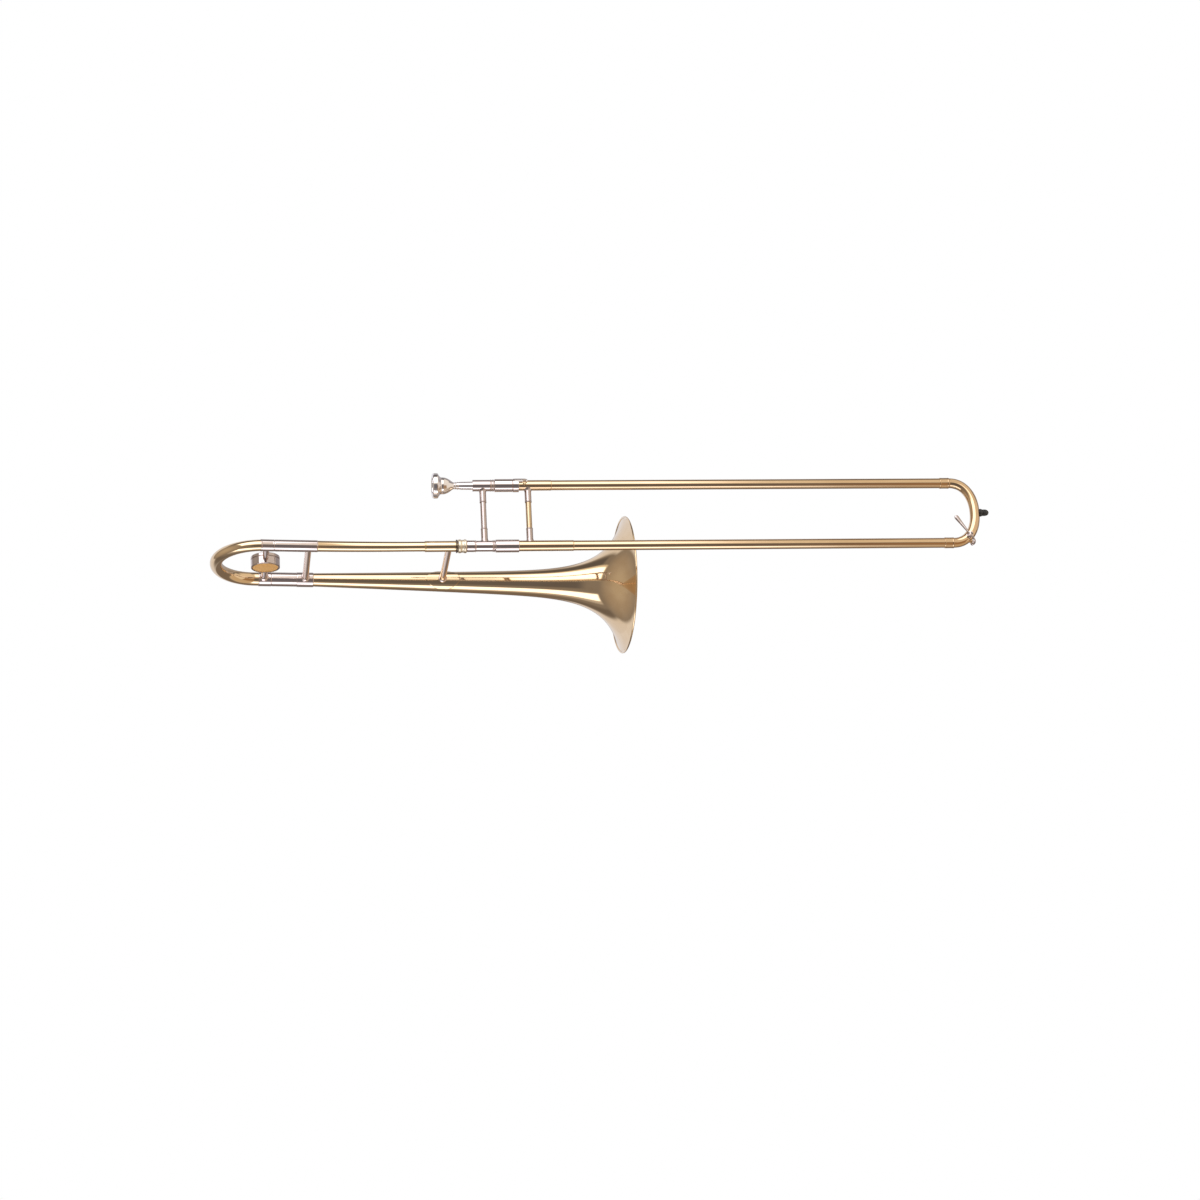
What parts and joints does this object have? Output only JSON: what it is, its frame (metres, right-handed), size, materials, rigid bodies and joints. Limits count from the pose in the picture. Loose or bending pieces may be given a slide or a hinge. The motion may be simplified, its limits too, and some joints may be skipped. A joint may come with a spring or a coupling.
{
  "type": "tenor trombone",
  "caption": "Straight tenor trombone with hand slide, tuning slide and counterweight, in gold-lacquered brass with nickel fittings.",
  "frame": {"origin": "middle of the inner slide brace, where the left hand holds the instrument", "axes": "+X along the slide towards its bow, +Z from the lower slide tube to the mouthpiece tube, +Y from the slide towards the bell"},
  "size_m": [1.1289, 0.2881, 0.2123],
  "materials": {
    "lacquered_brass": "clear gold lacquer over polished brass",
    "nickel": "polished nickel plate",
    "chrome_tube": "polished chrome plate",
    "plain_brass": "satin, uncoated",
    "spring_steel": "drawn wire and turned screw",
    "rubber": "matt moulded",
    "cork": "natural cork",
    "felt": "pressed felt",
    "amber_enamel": "smooth amber face"
  },
  "bodies": {
    "inner_slide": {"mouthpiece_receiver": "nickel", "leadpipe": "plain_brass", "upper_inner_tube": "chrome_tube", "lower_inner_tube": "chrome_tube", "upper_stocking": "chrome_tube", "lower_stocking": "chrome_tube", "upper_cork_barrel": "nickel", "lower_cork_barrel": "nickel", "upper_bumper_felt": "felt", "lower_bumper_felt": "felt", "bell_receiver": "nickel", "inner_brace_tube": "nickel", "inner_brace_upper_collar": "nickel", "inner_brace_lower_collar": "nickel"},
    "mouthpiece": {"mouthpiece": "nickel"},
    "lock_ring": {"slide_lock_ring": "nickel"},
    "lock_nut": {"bell_lock_nut": "plain_brass"},
    "outer_slide": {"upper_outer_tube": "lacquered_brass", "lower_outer_tube": "lacquered_brass", "upper_oversleeve": "lacquered_brass", "lower_oversleeve": "lacquered_brass", "slide_lock_stud": "plain_brass", "outer_brace_tube": "lacquered_brass", "outer_brace_upper_collar": "nickel", "outer_brace_lower_collar": "nickel", "slide_bow": "lacquered_brass", "upper_bow_ferrule": "lacquered_brass", "lower_bow_ferrule": "lacquered_brass", "slide_bumper": "rubber", "water_key_nipple": "lacquered_brass", "water_key_saddle": "nickel", "water_key_screw": "spring_steel", "water_key_spring": "spring_steel"},
    "water_key": {"water_key_lever": "nickel", "water_key_cork": "cork"},
    "bell_section": {"bell_tenon": "plain_brass", "tenon_collar": "plain_brass", "neck_sleeve": "lacquered_brass", "gooseneck": "lacquered_brass", "upper_tuning_sleeve": "nickel", "lower_tuning_sleeve": "nickel", "bell_tail_ferrule": "nickel", "bell": "lacquered_brass", "bell_rim_wire": "lacquered_brass", "rear_bell_brace": "nickel", "rear_bell_brace_foot": "nickel", "front_bell_brace": "nickel", "front_bell_brace_foot": "nickel", "bell_patch_plate": "lacquered_brass"},
    "tuning_slide": {"tuning_crook": "lacquered_brass", "upper_crook_ferrule": "nickel", "lower_crook_ferrule": "nickel", "upper_tuning_leg": "nickel", "lower_tuning_leg": "nickel", "counterweight": "nickel", "counterweight_inset": "amber_enamel", "upper_weight_post": "nickel", "lower_weight_post": "nickel"}
  },
  "joints": [
    {"name": "hand_slide", "type": "slide", "parent": "inner_slide", "child": "outer_slide", "axis": [1, 0, 0], "range_m": [0, 0.58]},
    {"name": "water_key_press", "type": "hinge", "parent": "outer_slide", "child": "water_key", "pos_m": [0.70443, -0.0106, -0.03911], "axis": [-0.7452, 0, -0.6669], "range_deg": [0, 12], "stiffness_Nm_per_rad": 0.05, "springref_deg": -20.05},
    {"name": "slide_lock", "type": "hinge", "parent": "inner_slide", "child": "lock_ring", "pos_m": [0.048, 0, 0.0464], "axis": [1, 0, 0], "range_deg": [0, 20]},
    {"name": "mouthpiece_pull", "type": "slide", "parent": "inner_slide", "child": "mouthpiece", "axis": [-1, 0, 0], "range_m": [0, 0.03]},
    {"name": "lock_nut_turn", "type": "hinge", "parent": "inner_slide", "child": "lock_nut", "pos_m": [-0.032, 0, -0.0464], "axis": [1, 0, 0], "continuous": true},
    {"name": "bell_swivel", "type": "hinge", "parent": "inner_slide", "child": "bell_section", "pos_m": [-0.038, 0, -0.0464], "axis": [1, 0, 0], "range_deg": [-15, 15]},
    {"name": "tuning_pull", "type": "slide", "parent": "bell_section", "child": "tuning_slide", "axis": [-0.9976, -0.0698, 0], "range_m": [0, 0.03]}
  ]
}
